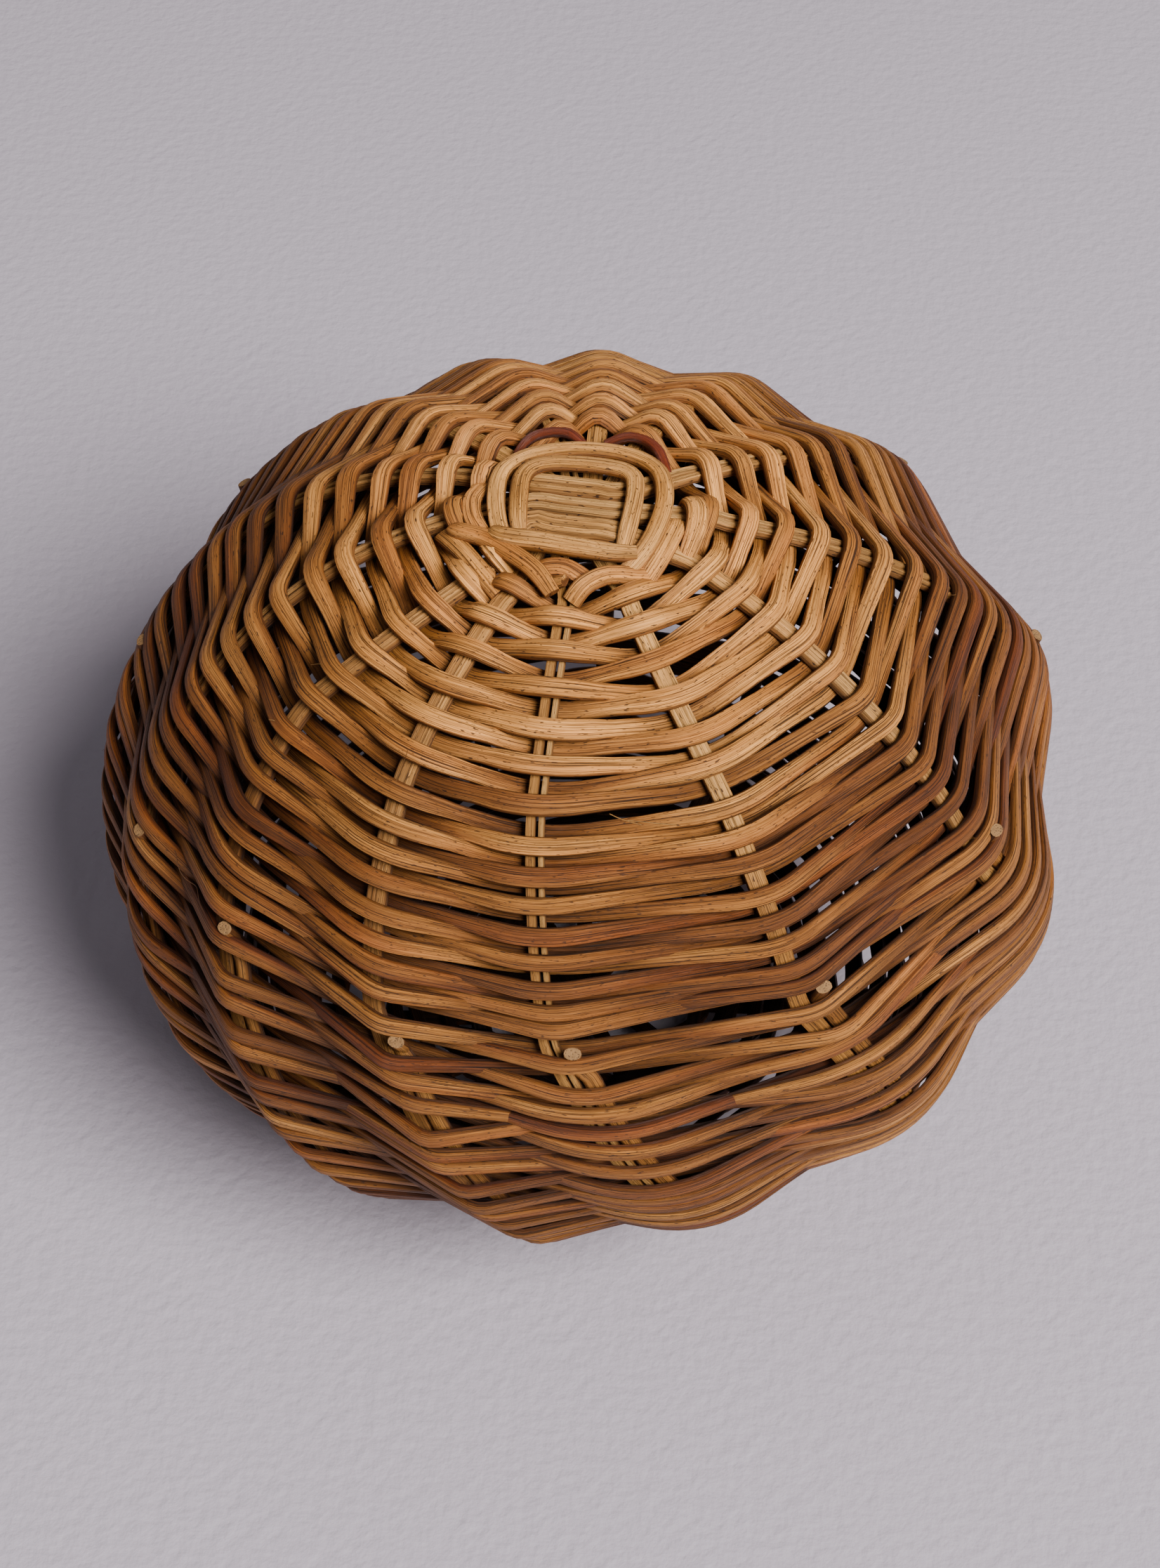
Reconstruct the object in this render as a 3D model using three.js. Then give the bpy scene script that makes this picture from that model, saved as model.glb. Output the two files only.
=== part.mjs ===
// A hand-woven cane ball, slightly flattened, standing on a small flat spot.
// Frame: millimetres, +Z up, origin under the ball's centre at the lowest face, front towards -Y.
// Thirteen cane stakes run down from the top block and thirteen rods run up from the bottom block.
// They overlap side by side near the widest part, and one long spiral of flat cane is woven over and
// under them.
import * as THREE from "three";

// ---------------------------------------------------------------- overall form
const OVERALL_RADIUS = 100;
const TOP_HEIGHT_RATIO = 0.825;
const BOTTOM_HEIGHT_RATIO = 0.76;

// ---------------------------------------------------------------- cane sections
const STAKE_WIDTH = 3.8;
const ROD_WIDTH = 3.3;
const STAKE_THICKNESS = 1.9;
const SPLIT_WIDTH = 4.7;
const WEAVER_THICKNESS = 1.9;
const WEAVER_WIDEST = 3.5;
const CLEARANCE = 0.35;
// How far a weaver's centre line stands off the stakes' middle surface where it crosses them.
const STAND_OFF_UPPER = 2.75;
const STAND_OFF_LOWER = 3.9;
const STAND_OFF_POLE = 3.9;

// ---------------------------------------------------------------- the stakes round the ball
// Compass angle of each stake, in degrees from the front, growing to the left: near the top block,
// half way down the upper half, and where the lower rods begin.
const STAKE_ANGLES = [
  [9, 8.5, 4.2],
  [35, 32.3, 25.5],
  [52, 57, 49.5],
  [88, 80, 71],
  [116, 109, 95],
  [137, 138.5, 129],
  [166, 164, 157],
  [185.5, 184, 178],
  [208, 208.7, 203],
  [241, 235, 230],
  [272, 269, 265],
  [303, 303.5, 302.5],
  [341, 336.5, 334],
];
const STAKE_COUNT = STAKE_ANGLES.length;
const ANGLE_STATIONS = [26, 64, 108];
// The lower half of the weave is drawn round to the right on its way down.
const SWIRL_START = 105;
const SWIRL_PER_MM = 0.3;
const SWIRL_END = 165;
// Arc lengths from the top pole at which the lower rods' cut tips and the upper stakes' ends lie.
const TIP_STATIONS = [105, 109, 109, 109, 105, 105, 105, 105, 105, 105, 105, 105, 101];
const STAKE_END_STATION = 146;
// Where a stake and the rod below it begin to lie side by side, and how far each stands off.
const PAIR_START = 90;
const PAIR_OFFSET = 2.15;
const PAIR_SINK = 0.45;
const TIP_BEND = 1.9;
const TIP_RISE = 3.1;

// ---------------------------------------------------------------- the blocks at the two poles
// Turn of the crossed rods at each pole about Z, in degrees.
const TOP_BLOCK_TURN = -9;
const BOTTOM_BLOCK_TURN = 27;
// The top block and its binding sit a little to the left of the axis.
const TOP_BLOCK_SHIFT = -0.8;
const WRAP_SHIFT = -2.1;
const SPLIT_PITCH = 5.3;
const UNDER_PITCH = 3.6;
const BLOCK_REACHES = [-8, -5.5, 5.5, 8];
const TOP_LAYER_RISE = 1.2;
const BOTTOM_LAYER_DROP = 2.15;
const LAYER_GAP = 0.5;
const WRAP_RISE = 3.95;
const WRAP_WIDTH = 3.3;

// ---------------------------------------------------------------- the weave
// Arc length from the top pole against the number of turns woven.
const TURN_STATIONS = [
  [0, 20],
  [8, 48.5],
  [14, 69.3],
  [24, 94.4],
  [28, 102.2],
  [30, 108.6],
  [53, 164],
  [71, 209],
];
const LAST_PITCH = 3.2;
const WEAVE_END_MARGIN = 23;
const WEAVER_LENGTHS = 16;

// ---------------------------------------------------------------- the ball's middle surface
const A = OVERALL_RADIUS - STAND_OFF_LOWER - WEAVER_THICKNESS / 2;
const TOP_HEIGHT = A * TOP_HEIGHT_RATIO;
const BOTTOM_HEIGHT = A * BOTTOM_HEIGHT_RATIO;
const CENTRE_HEIGHT = BOTTOM_HEIGHT + BOTTOM_LAYER_DROP + STAKE_THICKNESS / 2;
const ARC_STEPS = 3600;

// Running arc length down the profile, so that positions can be given in millimetres of surface.
const arcTable = [0];
for (let i = 1; i <= ARC_STEPS; i += 1) {
  const angle = (Math.PI * (i - 0.5)) / ARC_STEPS;
  const height = angle < Math.PI / 2 ? TOP_HEIGHT : BOTTOM_HEIGHT;
  const step = Math.hypot(A * Math.cos(angle), height * Math.sin(angle));
  arcTable.push(arcTable[i - 1] + (step * Math.PI) / ARC_STEPS);
}
const ARC_TOTAL = arcTable[ARC_STEPS];

function profileAngle(arc) {
  let low = 0;
  let high = ARC_STEPS;
  while (high - low > 1) {
    const middle = (low + high) >> 1;
    if (arcTable[middle] > arc) high = middle;
    else low = middle;
  }
  const share = (arc - arcTable[low]) / (arcTable[high] - arcTable[low]);
  return (Math.PI * (low + share)) / ARC_STEPS;
}

// A point of the middle surface and its outward normal, from arc length and compass angle.
function surfaceAt(arc, compass) {
  const angle = profileAngle(arc);
  const height = angle < Math.PI / 2 ? TOP_HEIGHT : BOTTOM_HEIGHT;
  const turn = THREE.MathUtils.degToRad(compass);
  const radius = A * Math.sin(angle);
  const point = new THREE.Vector3(
    -radius * Math.sin(turn),
    -radius * Math.cos(turn),
    CENTRE_HEIGHT + height * Math.cos(angle),
  );
  const out = Math.sin(angle) / A;
  const normal = new THREE.Vector3(
    -out * Math.sin(turn),
    -out * Math.cos(turn),
    Math.cos(angle) / height,
  ).normalize();
  return { point, normal, radius };
}

// Straight-line reading of a table of [input, output] rows.
function readTable(rows, input) {
  if (input <= rows[0][0]) return rows[0][1];
  for (let i = 1; i < rows.length; i += 1) {
    if (input <= rows[i][0]) {
      const share = (input - rows[i - 1][0]) / (rows[i][0] - rows[i - 1][0]);
      return rows[i - 1][1] + share * (rows[i][1] - rows[i - 1][1]);
    }
  }
  return rows[rows.length - 1][1];
}

const ease = (value, from, to) => THREE.MathUtils.smoothstep(value, from, to);

// ---------------------------------------------------------------- lines the stakes follow
// The line the weave crosses at: one stake, or the middle of a stake and rod side by side.
function crossingAngle(stake, arc) {
  const rows = ANGLE_STATIONS.map((station, i) => [station, STAKE_ANGLES[stake][i]]);
  const swirl = SWIRL_PER_MM * (Math.min(arc, SWIRL_END) - SWIRL_START);
  const shift = THREE.MathUtils.radToDeg(PAIR_OFFSET / surfaceAt(arc, 0).radius);
  return readTable(rows, arc) - Math.max(0, swirl) - shift * ease(arc, PAIR_START, PAIR_START + 10);
}

function upperAngle(stake, arc) {
  const shift = THREE.MathUtils.radToDeg(PAIR_OFFSET / surfaceAt(arc, 0).radius);
  return crossingAngle(stake, arc) + shift * ease(arc, PAIR_START, PAIR_START + 10);
}

function lowerAngle(stake, arc) {
  const shift = THREE.MathUtils.radToDeg(PAIR_OFFSET / surfaceAt(arc, 0).radius);
  return crossingAngle(stake, arc) - shift * (1 - ease(arc, STAKE_END_STATION + 2, 158));
}

function pairShare(arc) {
  const begun = ease(arc, PAIR_START - 2, PAIR_START + 9);
  return begun * (1 - ease(arc, STAKE_END_STATION + 1, 156));
}

// ---------------------------------------------------------------- the spiral
function arcOfTurn(turn) {
  const last = TURN_STATIONS[TURN_STATIONS.length - 1];
  if (turn <= last[0]) return readTable(TURN_STATIONS, turn);
  return last[1] + LAST_PITCH * (turn - last[0]);
}

const turnOf = (crossing) => {
  const stake = crossing % STAKE_COUNT;
  const round = Math.floor(crossing / STAKE_COUNT);
  return round + (STAKE_ANGLES[stake][2] - STAKE_ANGLES[0][2]) / 360;
};

let crossingCount = 0;
while (arcOfTurn(turnOf(crossingCount)) < ARC_TOTAL - WEAVE_END_MARGIN) crossingCount += 1;

// Where the weaver's centre line is at one crossing: outside even ones, inside odd ones.
function crossingPoint(crossing) {
  const turn = turnOf(crossing);
  const arc = arcOfTurn(turn);
  const { point, normal } = surfaceAt(arc, crossingAngle(crossing % STAKE_COUNT, arc));
  const side = crossing % 2 === 0 ? 1 : -1;
  const fromPole = Math.min(arc, ARC_TOTAL - arc);
  const low = ease(arc, 84, 110);
  const open = STAND_OFF_UPPER + (STAND_OFF_LOWER - STAND_OFF_UPPER) * low;
  const reach = open + (STAND_OFF_POLE - open) * (1 - ease(fromPole, 24, 44));
  const pitch = Math.min(arcOfTurn(turn + 0.5) - arc, arc - arcOfTurn(turn - 0.5)) * 2;
  const usable = turn < 1 ? WEAVER_WIDEST : pitch - CLEARANCE;
  return {
    point: point.clone().addScaledVector(normal, side * reach),
    normal,
    width: Math.min(WEAVER_WIDEST, usable),
  };
}

// ---------------------------------------------------------------- bending straight cane to a line
// Each station is {point, normal, width, thickness}; the bar's lengthwise steps land on them.
function frames(stations) {
  return stations.map((station, i) => {
    const before = stations[Math.max(0, i - 1)].point;
    const after = stations[Math.min(stations.length - 1, i + 1)].point;
    const along = after.clone().sub(before).normalize();
    const out = station.normal.clone().addScaledVector(along, -station.normal.dot(along));
    out.normalize();
    const across = out.clone().cross(along);
    return { ...station, along, out, across };
  });
}

function placeVertices(geometry, stations, read) {
  const rows = frames(stations);
  const positions = geometry.getAttribute("position");
  const vertex = new THREE.Vector3();
  for (let i = 0; i < positions.count; i += 1) {
    const { index, across, out } = read(positions.getX(i), positions.getY(i), positions.getZ(i));
    const row = rows[index];
    vertex.copy(row.point);
    vertex.addScaledVector(row.across, across * row.width);
    vertex.addScaledVector(row.out, out * row.thickness);
    positions.setXYZ(i, vertex.x, vertex.y, vertex.z);
  }
  geometry.computeVertexNormals();
  return geometry;
}

// Flat cane with four sides.
function flatStrip(stations) {
  const steps = stations.length - 1;
  const bar = new THREE.BoxGeometry(steps, 1, 1, steps, 1, 1);
  return placeVertices(bar, stations, (x, y, z) => ({
    index: Math.round(x + steps / 2),
    across: y,
    out: z,
  }));
}

// Rounder cane with six sides, flat on its inner and outer faces.
function rod(stations) {
  const steps = stations.length - 1;
  const bar = new THREE.CylinderGeometry(1, 1, steps, 6, steps);
  const flatReach = Math.cos(Math.PI / 6);
  return placeVertices(bar, stations, (x, y, z) => ({
    index: Math.round(y + steps / 2),
    across: z / 2,
    out: x / (2 * flatReach),
  }));
}

// ---------------------------------------------------------------- the rods
const BLOCK_ROWS_ALONG = [
  { ends: [2, 11], offset: -SPLIT_PITCH },
  { ends: [3, 10], offset: 0 },
  { ends: [4, 9], offset: SPLIT_PITCH },
];
const BLOCK_ROWS_ACROSS = [
  { ends: [1, 5], offset: -1.5 * UNDER_PITCH },
  { ends: [0, 6], offset: -0.5 * UNDER_PITCH },
  { ends: [null, 7], offset: 0.5 * UNDER_PITCH },
  { ends: [12, 8], offset: 1.5 * UNDER_PITCH },
];

const UPPER_ARCS = [20, 30, 43, 56, 69, 82, 92, 104, 118, 132, STAKE_END_STATION];
const LOWER_ARCS = [20, 30, 43, 56, 69, 82, 95, 108, 121, 135, 149];

// Stations of one half of an upper stake, from the block outwards.
function upperHalf(stake, layer) {
  return UPPER_ARCS.map((arc) => {
    const { point, normal } = surfaceAt(arc, upperAngle(stake, arc));
    const lift = layer * 0.1 * (1 - ease(arc, 20, 30)) - PAIR_SINK * pairShare(arc);
    return {
      point: point.addScaledVector(normal, lift),
      normal,
      width: STAKE_WIDTH,
      thickness: STAKE_THICKNESS,
    };
  });
}

// The lower rod's cut tip sticks out between two outer rows, over the row that passes inside there.
function tipArc(stake) {
  let best = null;
  for (let crossing = stake; crossing < crossingCount; crossing += STAKE_COUNT) {
    if (crossing % 2 === 0) continue;
    const arc = arcOfTurn(turnOf(crossing));
    const target = TIP_STATIONS[stake];
    if (best === null || Math.abs(arc - target) < Math.abs(best - target)) best = arc;
  }
  return best;
}

function lowerHalf(stake, layer) {
  const stations = LOWER_ARCS.map((fromBottom) => {
    const arc = ARC_TOTAL - fromBottom;
    const { point, normal } = surfaceAt(arc, lowerAngle(stake, arc));
    const lift = layer * 0.35 * (1 - ease(fromBottom, 20, 30)) - PAIR_SINK * pairShare(arc);
    return {
      point: point.addScaledVector(normal, lift),
      normal,
      width: ROD_WIDTH,
      thickness: STAKE_THICKNESS,
    };
  });
  const arc = tipArc(stake);
  [
    [arc + TIP_BEND, -PAIR_SINK],
    [arc - 0.1, TIP_RISE],
  ].forEach(([tip, rise]) => {
    const { point, normal } = surfaceAt(tip, lowerAngle(stake, tip));
    stations.push({
      point: point.addScaledVector(normal, rise),
      normal,
      width: ROD_WIDTH,
      thickness: STAKE_THICKNESS,
    });
  });
  return stations;
}

// Stations inside a block: straight and level, on the outer or inner side of the pole.
function blockStations(row, alongX, isTop, ends) {
  const turn = THREE.MathUtils.degToRad(isTop ? TOP_BLOCK_TURN : BOTTOM_BLOCK_TURN);
  const rise = alongX ? TOP_LAYER_RISE : -TOP_LAYER_RISE;
  const topLevel = CENTRE_HEIGHT + TOP_HEIGHT + rise;
  const lowLevel = STAKE_THICKNESS / 2 + (alongX ? 0 : STAKE_THICKNESS + LAYER_GAP);
  const level = isTop ? topLevel : lowLevel;
  const normal = new THREE.Vector3(0, 0, isTop ? 1 : -1);
  return ends.map((reach) => {
    const flat = alongX
      ? new THREE.Vector3(reach, row.offset, 0)
      : new THREE.Vector3(row.offset, reach, 0);
    flat.applyAxisAngle(new THREE.Vector3(0, 0, 1), turn);
    if (isTop) flat.x += TOP_BLOCK_SHIFT;
    flat.z = level;
    return {
      point: flat,
      normal: normal.clone(),
      width: alongX ? SPLIT_WIDTH : ROD_WIDTH,
      thickness: STAKE_THICKNESS,
    };
  });
}

// ---------------------------------------------------------------- the parts
const ball = new THREE.Group();
ball.name = "woven_ball";

const SHADES = { stake: 0xc79a63, rod: 0xb98a54, weaver: 0xa9713c, wrap: 0xc49660 };

function addMesh(name, geometry, shade) {
  const material = new THREE.MeshStandardMaterial({ color: shade, roughness: 0.62, metalness: 0 });
  const mesh = new THREE.Mesh(geometry, material);
  mesh.name = name;
  ball.add(mesh);
}

function addRods(prefix, half, isTop, shade) {
  const groups = [
    [BLOCK_ROWS_ALONG, true],
    [BLOCK_ROWS_ACROSS, false],
  ];
  groups.forEach(([rows, alongX]) => {
    rows.forEach((row) => {
      const layer = alongX ? 1 : -1;
      const [first, second] = row.ends;
      const name = prefix + (alongX ? "along_" : "across_") + (rows.indexOf(row) + 1);
      const inner = blockStations(
        row,
        alongX,
        isTop,
        first === null ? BLOCK_REACHES.slice(1) : BLOCK_REACHES,
      );
      const before = first === null ? [] : half(first, layer).reverse();
      addMesh(name, rod([...before, ...inner, ...half(second, layer)]), shade);
    });
  });
}

addRods("stake_", upperHalf, true, SHADES.stake);
addRods("rod_", lowerHalf, false, SHADES.rod);

// The two rounds that bind the top block: a rounded rectangle that opens outwards as it goes.
const WRAP_CORNERS = [
  [6.5, -10, 0],
  [-9.2, -8.6, 0],
  [-10.3, -5, 0],
  [-10.3, 5.5, 0],
  [-8, 9.8, 0],
  [-4, 10.9, 1],
  [4.5, 10.9, 1],
  [8.8, 9.6, 0],
  [10.7, 5.6, 0],
  [11.2, -4, 0],
  [10.6, -8.4, 0.2],
];
const OUTER_WRAP_CORNERS = [
  [-14, -7.6, 0.2],
  [-14.4, 5.5, 0],
  [-11.8, 11.6, 0],
  [-7, 14.7, 0.8],
  [6, 14.9, 0.8],
  [11.6, 12.6, 0],
  [14.6, 7, 0],
  [15.4, -3.5, 0],
  [13.4, -11.4, 0],
  [6.5, -14.6, 0.5],
];

function wrapStations(corners) {
  const turn = THREE.MathUtils.degToRad(TOP_BLOCK_TURN);
  return corners.map(([x, y, dip]) => {
    const flat = new THREE.Vector3(x, y, 0).applyAxisAngle(new THREE.Vector3(0, 0, 1), turn);
    flat.x += WRAP_SHIFT;
    const radius = Math.hypot(x, y);
    const sag = TOP_HEIGHT * (1 - Math.sqrt(1 - (radius / A) ** 2));
    flat.z = CENTRE_HEIGHT + TOP_HEIGHT + WRAP_RISE - sag - dip;
    return {
      point: flat,
      normal: new THREE.Vector3(0, 0, 1),
      width: WRAP_WIDTH,
      thickness: WEAVER_THICKNESS,
    };
  });
}

addMesh("pole_wrap_inner", flatStrip(wrapStations(WRAP_CORNERS)), SHADES.wrap);
addMesh("pole_wrap_outer", flatStrip(wrapStations(OUTER_WRAP_CORNERS)), SHADES.wrap);

// The spiral is made of lengths of cane, each joined on where the last one runs out.
function weaverStations(from, to) {
  const stations = [];
  for (let crossing = from; crossing <= to; crossing += 1) {
    stations.push({ ...crossingPoint(crossing), thickness: WEAVER_THICKNESS });
  }
  return stations;
}

function trimEnd(stations, index, towards, share) {
  const kept = stations[index];
  kept.point = kept.point.clone().lerp(stations[towards].point, share);
}

// Equal shares of the cane, not of the turns: the turns near the poles are short.
const shares = [];
for (let i = 0; i <= WEAVER_LENGTHS; i += 1) shares.push(i / WEAVER_LENGTHS);
const caneSoFar = [0];
for (let crossing = 1; crossing < crossingCount; crossing += 1) {
  const gap = crossingPoint(crossing).point.distanceTo(crossingPoint(crossing - 1).point);
  caneSoFar.push(caneSoFar[crossing - 1] + gap);
}
const caneTotal = caneSoFar[crossingCount - 1];
const joints = shares.map((share) => {
  const index = caneSoFar.findIndex((value) => value >= share * caneTotal - 1e-6);
  return index < 0 ? crossingCount - 1 : index;
});
for (let i = 0; i < WEAVER_LENGTHS; i += 1) {
  const stations = weaverStations(joints[i], joints[i + 1]);
  if (i > 0) trimEnd(stations, 0, 1, 0.53);
  if (i < WEAVER_LENGTHS - 1) {
    stations.push({ ...crossingPoint(joints[i + 1] + 1), thickness: WEAVER_THICKNESS });
    trimEnd(stations, stations.length - 1, stations.length - 2, 0.53);
  }
  const name = "weaver_" + String(i + 1).padStart(2, "0");
  addMesh(name, flatStrip(stations), SHADES.weaver);
}

// Centre the whole ball over the origin; the flat spot already lies on Z = 0.
const bounds = new THREE.Box3().setFromObject(ball);
const centre = bounds.getCenter(new THREE.Vector3());
ball.children.forEach((mesh) => mesh.geometry.translate(-centre.x, -centre.y, 0));

export default ball;
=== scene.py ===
# %% [markdown]
# # A hand-woven cane ball
# A basket maker crosses two layers of cane at the top, binds the cross, and weaves one long strand
# round and round over and under the thirteen arms. The arms of seven more rods, crossed at the
# bottom, are pushed in beside them near the widest part. Here every strand is laid one by one,
# because the look of the ball is nothing but its strands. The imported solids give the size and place.

import math
import random

import bpy
import numpy as np
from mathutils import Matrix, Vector


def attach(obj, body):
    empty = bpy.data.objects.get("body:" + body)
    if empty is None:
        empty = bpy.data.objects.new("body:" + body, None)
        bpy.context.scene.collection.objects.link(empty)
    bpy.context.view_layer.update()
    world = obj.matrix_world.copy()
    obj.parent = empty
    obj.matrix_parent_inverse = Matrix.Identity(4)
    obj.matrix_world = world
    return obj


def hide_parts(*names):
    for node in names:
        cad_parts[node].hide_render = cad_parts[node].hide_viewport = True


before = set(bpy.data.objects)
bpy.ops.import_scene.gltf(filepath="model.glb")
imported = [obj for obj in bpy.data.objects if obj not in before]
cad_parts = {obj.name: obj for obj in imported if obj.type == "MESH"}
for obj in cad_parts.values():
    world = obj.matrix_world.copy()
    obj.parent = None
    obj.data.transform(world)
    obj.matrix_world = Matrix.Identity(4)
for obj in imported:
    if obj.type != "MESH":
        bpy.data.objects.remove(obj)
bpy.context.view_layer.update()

# %% [markdown]
# The ball has one middle surface, on which the stakes lie: a circle from above and two half ellipses
# from the side, the lower one flatter. Places on it are given by the arc length down from the top
# pole and by a compass angle that is zero at the front and grows to the left.

# %% The middle surface
MM = 0.001
TOP_SHARE, BOTTOM_SHARE = 0.825, 0.76
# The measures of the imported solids, from which the surface follows.
OVERALL_RADIUS = 100 * MM
SOLID_UPPER_STAND_OFF = 2.75 * MM
SOLID_LOWER_STAND_OFF = 3.9 * MM
SOLID_POLE_STAND_OFF = 3.9 * MM
SOLID_WEAVER_THICKNESS = 1.9 * MM
SOLID_STAKE_THICKNESS = 1.9 * MM
BOTTOM_LAYER_DROP = 2.15 * MM
RADIUS = OVERALL_RADIUS - SOLID_LOWER_STAND_OFF - SOLID_WEAVER_THICKNESS / 2
TOP_HEIGHT = RADIUS * TOP_SHARE
BOTTOM_HEIGHT = RADIUS * BOTTOM_SHARE
CENTRE_HEIGHT = BOTTOM_HEIGHT + BOTTOM_LAYER_DROP + SOLID_STAKE_THICKNESS / 2
TOP_POLE = CENTRE_HEIGHT + TOP_HEIGHT

profile_angles = np.linspace(0, math.pi, 3601)
middle_angles = (profile_angles[1:] + profile_angles[:-1]) / 2
middle_heights = np.where(middle_angles < math.pi / 2, TOP_HEIGHT, BOTTOM_HEIGHT)
arc_steps = np.hypot(RADIUS * np.cos(middle_angles), middle_heights * np.sin(middle_angles))
arc_table = np.concatenate([[0], np.cumsum(arc_steps * (profile_angles[1] - profile_angles[0]))])
ARC_TOTAL = float(arc_table[-1])
axis_place = Vector((0, 0, 0))


def surface_at(arc, compass):
    """Point and outward normal of the middle surface, and its radius there."""
    angle = float(np.interp(arc, arc_table, profile_angles))
    height = TOP_HEIGHT if angle < math.pi / 2 else BOTTOM_HEIGHT
    turn = math.radians(compass)
    radius = RADIUS * math.sin(angle)
    level = CENTRE_HEIGHT + height * math.cos(angle)
    point = Vector((-radius * math.sin(turn), -radius * math.cos(turn), level))
    out = math.sin(angle) / RADIUS
    normal = Vector((-out * math.sin(turn), -out * math.cos(turn), math.cos(angle) / height)).normalized()
    return point + axis_place, normal, radius


def ease(value, low, high):
    """Zero below low, one above high, smooth between."""
    share = min(1.0, max(0.0, (value - low) / (high - low)))
    return share * share * (3 - 2 * share)


print("arc from pole to pole, mm", round(ARC_TOTAL / MM, 1))

# %% [markdown]
# The thirteen stakes aren't evenly spaced, as no hand-made cross is. Three compass angles place each
# one: near the top block, half way down, and where the lower rods begin. Below that the weave is
# drawn round to the right. An odd number of stakes is what lets a single strand weave: each round
# it goes over the stakes that it went under before.

# %% Where the stakes and the rows lie
STAKE_ANGLES = [
    (9, 8.5, 4.2), (35, 32.3, 25.5), (52, 57, 49.5), (88, 80, 71), (116, 109, 95),
    (137, 138.5, 129), (166, 164, 157), (185.5, 184, 178), (208, 208.7, 203),
    (241, 235, 230), (272, 269, 265), (303, 303.5, 302.5), (341, 336.5, 334),
]
STAKES = len(STAKE_ANGLES)
ANGLE_ARCS = [26 * MM, 64 * MM, 108 * MM]
SWIRL_START = 105 * MM
SWIRL_PER_MM = 0.3
SWIRL_END = 165 * MM
PAIR_START = 90
PAIR_END = 147
PAIR_OFFSET = 2.15 * MM
# How far down the strand has come, in millimetres of arc, after a number of turns.
ROW_TURNS = [0, 8, 14, 24, 28, 30, 53, 71]
ROW_ARCS = [20, 48.5, 69.3, 94.4, 102.2, 108.6, 164, 209]
LAST_PITCH = 3.2
WEAVE_END_MARGIN = 23 * MM


def pair_shift(arc):
    """Half the spacing of a stake and a rod side by side, as an angle."""
    return math.degrees(PAIR_OFFSET / surface_at(arc, 0)[2])


def crossing_angle(stake, arc):
    """Compass angle of the line along which the weave crosses a stake."""
    angle = float(np.interp(arc, ANGLE_ARCS, STAKE_ANGLES[stake]))
    swirl = max(0.0, SWIRL_PER_MM * (min(arc, SWIRL_END) - SWIRL_START) / MM)
    return angle - swirl - pair_shift(arc) * ease(arc / MM, PAIR_START, PAIR_START + 10)


def upper_angle(stake, arc):
    """Compass angle of an upper stake, which gives way to the rod beside it."""
    return crossing_angle(stake, arc) + pair_shift(arc) * ease(arc / MM, PAIR_START, PAIR_START + 10)


def lower_angle(stake, arc):
    """Compass angle of a lower rod, on the other side of the same line."""
    return crossing_angle(stake, arc) - pair_shift(arc) * (1 - ease(arc / MM, PAIR_END + 1, PAIR_END + 11))


def pair_share(arc):
    """One where a stake and a rod lie side by side, zero where one lies alone."""
    return ease(arc / MM, PAIR_START - 2, PAIR_START + 9) * (1 - ease(arc / MM, PAIR_END, PAIR_END + 9))


def row_arc(turn):
    """Arc length from the top pole after a number of turns of the spiral."""
    if turn <= ROW_TURNS[-1]:
        return float(np.interp(turn, ROW_TURNS, ROW_ARCS)) * MM
    return (ROW_ARCS[-1] + LAST_PITCH * (turn - ROW_TURNS[-1])) * MM


def turn_of(crossing):
    """Turns made when the strand reaches a crossing."""
    stake = crossing % STAKES
    return crossing // STAKES + (STAKE_ANGLES[stake][2] - STAKE_ANGLES[0][2]) / 360


crossing_count = 0
while row_arc(turn_of(crossing_count)) < ARC_TOTAL - WEAVE_END_MARGIN:
    crossing_count += 1
print("crossings", crossing_count, "turns", round(crossing_count / STAKES, 1))

# %% [markdown]
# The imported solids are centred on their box, which puts the ball's own axis a hair to one side.
# The same crossings, worked out here, show by how much.

# %% Find the ball's axis
def solid_crossing(crossing):
    """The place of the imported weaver's centre line at a crossing."""
    arc = row_arc(turn_of(crossing))
    point, normal, _ = surface_at(arc, crossing_angle(crossing % STAKES, arc))
    side = 1 if crossing % 2 == 0 else -1
    low = ease(arc / MM, 84, 110)
    reach = SOLID_UPPER_STAND_OFF + (SOLID_LOWER_STAND_OFF - SOLID_UPPER_STAND_OFF) * low
    near_pole = 1 - ease(min(arc, ARC_TOTAL - arc) / MM, 24, 44)
    return point + normal * side * (reach + (SOLID_POLE_STAND_OFF - reach) * near_pole)


solid_points = np.array([solid_crossing(c) for c in range(crossing_count)])
solid_middle = (solid_points.max(axis=0) + solid_points.min(axis=0)) / 2
axis_place = Vector((-float(solid_middle[0]), -float(solid_middle[1]), 0))
print("axis off the origin, mm", round(axis_place.x / MM, 2), round(axis_place.y / MM, 2))

# %% [markdown]
# ## Cane finishes
# Cane is a bundle of long straight fibres. Up close it shows fine streaks along its length, short
# dark pores and a faint gloss, and its tone drifts along every strand between straw, honey and
# reddish brown. The streaks have to run along the strand, so the pattern reads the strand's own UV
# map: U goes once round it and V counts millimetres-long slices along it. U is wrapped onto a circle
# with sine and cosine, so no seam shows.

# %% Node helpers
SLICE = 1.6 * MM


def add_node(tree, kind, place, **values):
    node = tree.nodes.new(kind)
    node.location = place
    for name, value in values.items():
        setattr(node, name, value)
    return node


def feed(tree, socket, value):
    """Sets a socket to a number or a colour, or links another node's output to it."""
    if isinstance(value, (int, float)):
        socket.default_value = value
    elif isinstance(value, tuple):
        socket.default_value = (*value, 1)
    else:
        tree.links.new(value, socket)


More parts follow.
